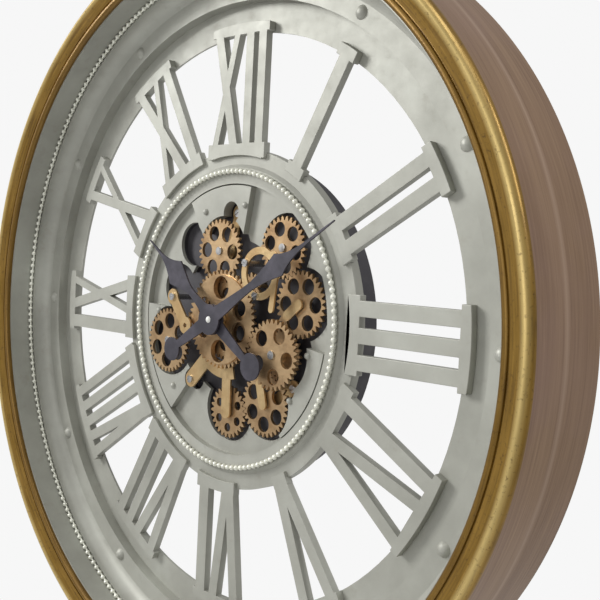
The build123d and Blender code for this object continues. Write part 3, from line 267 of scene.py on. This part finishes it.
def dial_silver(name="dial_silver", light=1.0, shine=0.46):
    """Champagne-silver paint, satin, with soft clouding and a fine grain."""
    m = Nodes(name)
    place = m.coordinates()
    cloud = m.noise(place, 16.0, 5.0, 0.6)
    grain = m.noise(place, 900.0, 2.0, 0.6)
    wear = m.noise(place, 60.0, 6.0, 0.7)
    base = m.ramp(
        cloud,
        (0.30, lin(150 * light, 150 * light, 141 * light)),
        (0.52, lin(163 * light, 163 * light, 154 * light)),
        (0.72, lin(174 * light, 175 * light, 166 * light)),
    )
    rubbed = m.ramp(wear, (0.58, grey(0.0)), (0.74, grey(0.30)))
    m.feed(m.mix(rubbed, base, lin(134 * light, 128 * light, 114 * light)), "Base Color")
    m.feed(m.ramp(wear, (0.3, grey(shine)), (0.7, grey(shine + 0.14))), "Roughness")
    m.set(Metallic=0.32)
    m.bump(grain, 0.12, 0.0002)
    return m.material


def satin_dark(name, colour, lift, roughness):
    """Satin charcoal paint with a faint orange-peel and a few paler rubs."""
    m = Nodes(name)
    place = m.coordinates()
    peel = m.noise(place, 700.0, 2.0, 0.5)
    rub = m.noise(place, 45.0, 5.0, 0.65)
    m.feed(m.ramp(rub, (0.45, colour), (0.80, lift)), "Base Color")
    m.feed(m.ramp(rub, (0.3, grey(roughness)), (0.8, grey(roughness + 0.14))), "Roughness")
    m.set(Metallic=0.2)
    m.bump(peel, 0.10, 0.0002)
    return m.material


def gear_brass(name, pale, deep, brown):
    """Satin gold plate with turning marks, a browner cast in places and dull flats."""
    m = Nodes(name)
    place = m.coordinates()
    cast = m.noise(place, 34.0, 4.0, 0.6)
    brushed = m.noise(m.coordinates((1, 1, 14)), 160.0, 4.0, 0.6)
    base = m.ramp(cast, (0.34, deep), (0.60, pale))
    stain = m.ramp(m.noise(place, 80.0, 5.0, 0.7), (0.52, grey(0.0)), (0.76, grey(0.55)))
    m.feed(m.mix(stain, base, brown), "Base Color")
    m.feed(m.ramp(brushed, (0.3, grey(0.30)), (0.7, grey(0.44))), "Roughness")
    m.set(Metallic=0.85)
    m.bump(brushed, 0.10, 0.0002)
    return m.material


def steel(name, tone, roughness):
    m = Nodes(name)
    brushed = m.noise(m.coordinates((1, 20, 1)), 260.0, 4.0, 0.6)
    m.feed(m.ramp(brushed, (0.3, grey(tone * 0.8)), (0.7, grey(tone))), "Base Color")
    m.feed(m.ramp(brushed, (0.3, grey(roughness)), (0.7, grey(roughness + 0.12))), "Roughness")
    m.set(Metallic=1.0)
    m.bump(brushed, 0.08, 0.0001)
    return m.material


def moulded(name, colour, sheen, roughness, texture=0.25):
    """Moulded plastic with a fine spark-eroded texture."""
    m = Nodes(name)
    place = m.coordinates()
    grain = m.noise(place, 1400.0, 2.0, 0.6)
    cloud = m.noise(place, 30.0, 4.0, 0.6)
    m.feed(m.ramp(cloud, (0.35, colour), (0.7, sheen)), "Base Color")
    m.feed(m.ramp(cloud, (0.3, grey(roughness)), (0.7, grey(roughness + 0.1))), "Roughness")
    m.bump(grain, texture, 0.0002)
    return m.material


MATERIALS = {
    "case_brown": case_brown(),
    "bezel_gold": bezel_gold(),
    "dial_silver": dial_silver(),
    # The beads' silver is the dial silver made 1.38 times brighter: a painted highlight for the light
    # the beads catch.
    "bead_silver_lit": dial_silver("bead_silver_lit", 1.38, 0.30),
    "charcoal_paint": satin_dark("charcoal_paint", lin(60, 58, 62), lin(84, 82, 84), 0.5),
    "hand_black": satin_dark("hand_black", lin(52, 50, 58), lin(84, 80, 90), 0.42),
    "gear_brass": gear_brass("gear_brass", lin(200, 170, 130), lin(164, 132, 96), lin(108, 80, 60)),
    "cock_brass": gear_brass("cock_brass", lin(218, 190, 142), lin(194, 160, 112), lin(136, 104, 74)),
    "bright_steel": steel("bright_steel", 0.62, 0.24),
    "cap_white": moulded("cap_white", lin(238, 238, 232), lin(224, 224, 218), 0.25, 0.05),
    "black_plastic": moulded("black_plastic", lin(22, 22, 24), lin(34, 34, 36), 0.5),
    "cell_wrap": moulded("cell_wrap", lin(34, 40, 52), lin(48, 54, 66), 0.3, 0.05),
    "hanger_steel": steel("hanger_steel", 0.55, 0.35),
}

SLOT_OF = {part["node"]: part["material_slot"] for part in frame["record"]["subparts"]}


# ------------------------------------------------------------------ CAD nodes


def finish_edges(node, width, segments=2, angle=35.0):
    """Softens a machined node's edges; the modifiers sit on the CAD object."""
    obj = frame["nodes"][node]
    weld = obj.modifiers.new("weld", "WELD")
    weld.merge_threshold = 1e-6
    flat = obj.modifiers.new("flat", "DECIMATE")
    flat.decimate_type = "DISSOLVE"
    flat.angle_limit = math.radians(0.5)
    soft = obj.modifiers.new("soft", "BEVEL")
    soft.width = width
    soft.segments = segments
    soft.limit_method = "ANGLE"
    soft.angle_limit = math.radians(angle)
    soft.harden_normals = True
    soft.use_clamp_overlap = True


def smooth(obj, angle=30.0):
    """Smooth shading with edges above the angle kept sharp."""
    mesh = obj.data
    mesh.polygons.foreach_set("use_smooth", [True] * len(mesh.polygons))
    mesh.set_sharp_from_angle(angle=math.radians(angle))


for node_name, node in frame["nodes"].items():
    node.data.materials.clear()
    node.data.materials.append(MATERIALS[SLOT_OF[node_name]])

NUMERALS = [f"numeral_{hour}" for hour in range(1, 13)]
for node_name in NUMERALS:
    finish_edges(node_name, 0.5 * MM)


# ------------------------------------------------------------------ beads and turned rings
BEAD_RINGS, BEAD_SIDES = 8, 12
TUBE_SIDES = 8
TUBE_SHARE = 0.42       # wire between the beads, as a share of the bead's radius
TUBE_DROP_SHARE = 0.25  # how far it sits behind the beads' centres
TURNED_STEPS = 360
TURNED_ANGLE = 24.0
SAME_TURN = 1e-4


def new_mesh(name, bm, material, body, angle=30.0):
    mesh = bpy.data.meshes.new(name)
    bm.normal_update()
    bm.to_mesh(mesh)
    bm.free()
    obj = bpy.data.objects.new(name, mesh)
    bpy.context.scene.collection.objects.link(obj)
    mesh.materials.append(material)
    smooth(obj, angle)
    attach(obj, body)
    return obj


def bead_ring(name, node, count):
    """A ring of round beads on a thin wire, in the space of the CAD node's plain wire."""
    low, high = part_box(node)
    wire = (high.y - low.y) / 2
    radius = (high.x - low.x) / 2 - wire
    middle_y = (high.y + low.y) / 2
    bm = bmesh.new()
    profile = []
    for ring in range(1, BEAD_RINGS):
        polar = math.pi * ring / BEAD_RINGS
        profile.append((math.cos(polar), math.sin(polar)))
    for bead in range(count):
        turn = 2 * math.pi * bead / count
        centre = Vector((radius * math.cos(turn), middle_y, radius * math.sin(turn)))
        out = Vector((math.cos(turn), 0, math.sin(turn)))
        tangent = Vector((-math.sin(turn), 0, math.cos(turn)))
        axis = Vector((0, -1, 0))
        top = bm.verts.new(centre + axis * wire)
        bottom = bm.verts.new(centre - axis * wire)
        rings = []
        for up, side in profile:
            ring_verts = []
            for k in range(BEAD_SIDES):
                a = 2 * math.pi * k / BEAD_SIDES
                offset = (out * math.cos(a) + tangent * math.sin(a)) * side * wire
                ring_verts.append(bm.verts.new(centre + axis * up * wire + offset))
            rings.append(ring_verts)
        for k in range(BEAD_SIDES):
            n = (k + 1) % BEAD_SIDES
            bm.faces.new((top, rings[0][k], rings[0][n]))
            bm.faces.new((bottom, rings[-1][n], rings[-1][k]))
            for upper, lower in zip(rings, rings[1:]):
                bm.faces.new((upper[k], lower[k], lower[n], upper[n]))
    tube = wire * TUBE_SHARE
    tube_drop = wire * TUBE_DROP_SHARE
    loops = []
    for step in range(count):
        turn = 2 * math.pi * (step + 0.5) / count
        loop = []
        for k in range(TUBE_SIDES):
            a = 2 * math.pi * k / TUBE_SIDES
            r = radius + tube * math.cos(a)
            y = middle_y + tube_drop + tube * math.sin(a)
            loop.append(bm.verts.new((r * math.cos(turn), y, r * math.sin(turn))))
        loops.append(loop)
    for step in range(count):
        here, there = loops[step], loops[(step + 1) % count]
        for k in range(TUBE_SIDES):
            n = (k + 1) % TUBE_SIDES
            bm.faces.new((here[k], there[k], there[n], here[n]))
    bmesh.ops.recalc_face_normals(bm, faces=bm.faces)
    obj = new_mesh(name, bm, MATERIALS["bead_silver_lit"], "case", 60.0)
    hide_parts(node)


def section_of(node):
    """The closed outline (radius, y) of a turned CAD node, found from the edges that lie in a plane
    through its axis."""
    mesh = frame["nodes"][node].data
    place = {}
    for v in mesh.vertices:
        radius = math.hypot(v.co.x, v.co.z)
        place[v.index] = ((round(radius, 5), round(v.co.y, 5)), math.atan2(v.co.z, v.co.x))
    next_to = {}
    for edge in mesh.edges:
        (a, angle_a), (b, angle_b) = (place[k] for k in edge.vertices)
        if a != b and abs(angle_a - angle_b) < SAME_TURN:
            next_to.setdefault(a, set()).add(b)
            next_to.setdefault(b, set()).add(a)
    start = max(next_to)
    outline, last = [start], None
    while True:
        onward = [q for q in next_to[outline[-1]] if q != last]
        onward.sort(key=lambda q: math.dist(q, outline[-1]))
        if not onward or onward[0] == start or len(outline) > len(next_to):
            return outline
        last = outline[-1]
        outline.append(onward[0])


def turned(name, node):
    """A finely turned copy of a CAD ring, shown in its place."""
    outline = section_of(node)
    bm = bmesh.new()
    loops = []
    for step in range(TURNED_STEPS):
        turn = 2 * math.pi * step / TURNED_STEPS
        loops.append([bm.verts.new((r * math.cos(turn), y, r * math.sin(turn))) for r, y in outline])
    for step in range(TURNED_STEPS):
        here, there = loops[step], loops[(step + 1) % TURNED_STEPS]
        for k in range(len(outline)):
            n = (k + 1) % len(outline)
            bm.faces.new((here[k], there[k], there[n], here[n]))
    bmesh.ops.recalc_face_normals(bm, faces=bm.faces)
    obj = new_mesh(name, bm, MATERIALS[SLOT_OF[node]], "case", TURNED_ANGLE)
    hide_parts(node)


for ring_node in ("case_hoop", "bezel_ring", "surround_wall", "centre_ring"):
    turned(ring_node.replace("_", "-") + "-turned", ring_node)

bead_ring("outer_beads", "outer_bead_ring", 288)
bead_ring("inner_beads", "inner_bead_ring", 144)

for node_name in frame["nodes"]:
    if node_name not in NUMERALS and not frame["nodes"][node_name].hide_render:
        smooth(frame["nodes"][node_name])

# ------------------------------------------------------------------ stage, light, camera
low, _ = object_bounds()
FLOOR_DROP = 1.1
FLOOR_SIZE = 2.2
bm = bmesh.new()
bmesh.ops.create_grid(bm, x_segments=1, y_segments=1, size=FLOOR_SIZE)
floor_mesh = bpy.data.meshes.new("floor")
bm.to_mesh(floor_mesh)
bm.free()
floor = bpy.data.objects.new("floor", floor_mesh)
floor.location = (0, 0, low.z - FLOOR_DROP)
bpy.context.scene.collection.objects.link(floor)
floor_paint = Nodes("floor_paint")
floor_tone = floor_paint.noise(floor_paint.coordinates(), 1.5, 3.0, 0.5)
floor_paint.feed(floor_paint.ramp(floor_tone, (0.3, grey(0.84)), (0.7, grey(0.88))), "Base Color")
floor_paint.set(Roughness=0.9)
floor_mesh.materials.append(floor_paint.material)


def area_light(name, location, target, size, energy):
    data = bpy.data.lights.new(name, "AREA")
    data.shape = "RECTANGLE"
    data.size, data.size_y = size
    data.energy = energy
    obj = bpy.data.objects.new(name, data)
    obj.location = location
    aim = Vector(target) - Vector(location)
    obj.rotation_euler = aim.to_track_quat("-Z", "Y").to_euler()
    bpy.context.scene.collection.objects.link(obj)


area_light("key", (-2.3, -2.0, 1.5), (0, 0, 0), (1.0, 1.4), 95)
area_light("front", (0.3, -3.2, 0.5), (0, 0, 0), (1.4, 1.4), 16)
area_light("top", (0.9, -0.9, 2.6), (0, 0, 0), (1.4, 1.0), 20)
area_light("side", (2.4, 0.5, 1.9), (0.2, 0, 0.1), (0.6, 1.4), 34)

world = bpy.data.worlds.new("studio")
bpy.context.scene.world = world
world.use_nodes = True
WORLD_SEEN = 0.93
WORLD_LIGHT = 0.42
background = world.node_tree.nodes["Background"]
background.inputs["Color"].default_value = (1.0, 1.0, 1.0, 1.0)
background.inputs["Strength"].default_value = WORLD_LIGHT
seen = world.node_tree.nodes.new("ShaderNodeBackground")
seen.inputs["Color"].default_value = (1.0, 1.0, 1.0, 1.0)
seen.inputs["Strength"].default_value = WORLD_SEEN
either = world.node_tree.nodes.new("ShaderNodeMixShader")
ray = world.node_tree.nodes.new("ShaderNodeLightPath")
world.node_tree.links.new(ray.outputs["Is Camera Ray"], either.inputs[0])
world.node_tree.links.new(background.outputs[0], either.inputs[1])
world.node_tree.links.new(seen.outputs[0], either.inputs[2])
world.node_tree.links.new(either.outputs[0], world.node_tree.nodes["World Output"].inputs["Surface"])

# The camera stands to the right of the clock and a little above its axis, tilted with the horizon.
CAMERA_PLACE = Vector((0.5749, -0.5313, 0.0556))
CAMERA_BACK = Vector((0.7043, -0.7082, 0.0495))
CAMERA_UP = Vector((-0.0700, 0.0001, 0.9975))
CAMERA_LENS = 57.74
camera_data = bpy.data.cameras.new("camera")
camera_data.lens = CAMERA_LENS
camera_data.sensor_width = 36.0
camera_data.clip_start = 0.01
camera = bpy.data.objects.new("camera", camera_data)
bpy.context.scene.collection.objects.link(camera)
camera_z = CAMERA_BACK.normalized()
camera_x = CAMERA_UP.cross(camera_z).normalized()
camera_y = camera_z.cross(camera_x)
camera_turn = Matrix((camera_x, camera_y, camera_z)).transposed().to_4x4()
camera.matrix_world = Matrix.Translation(CAMERA_PLACE) @ camera_turn
bpy.context.scene.camera = camera
bpy.context.scene.view_settings.view_transform = "Standard"
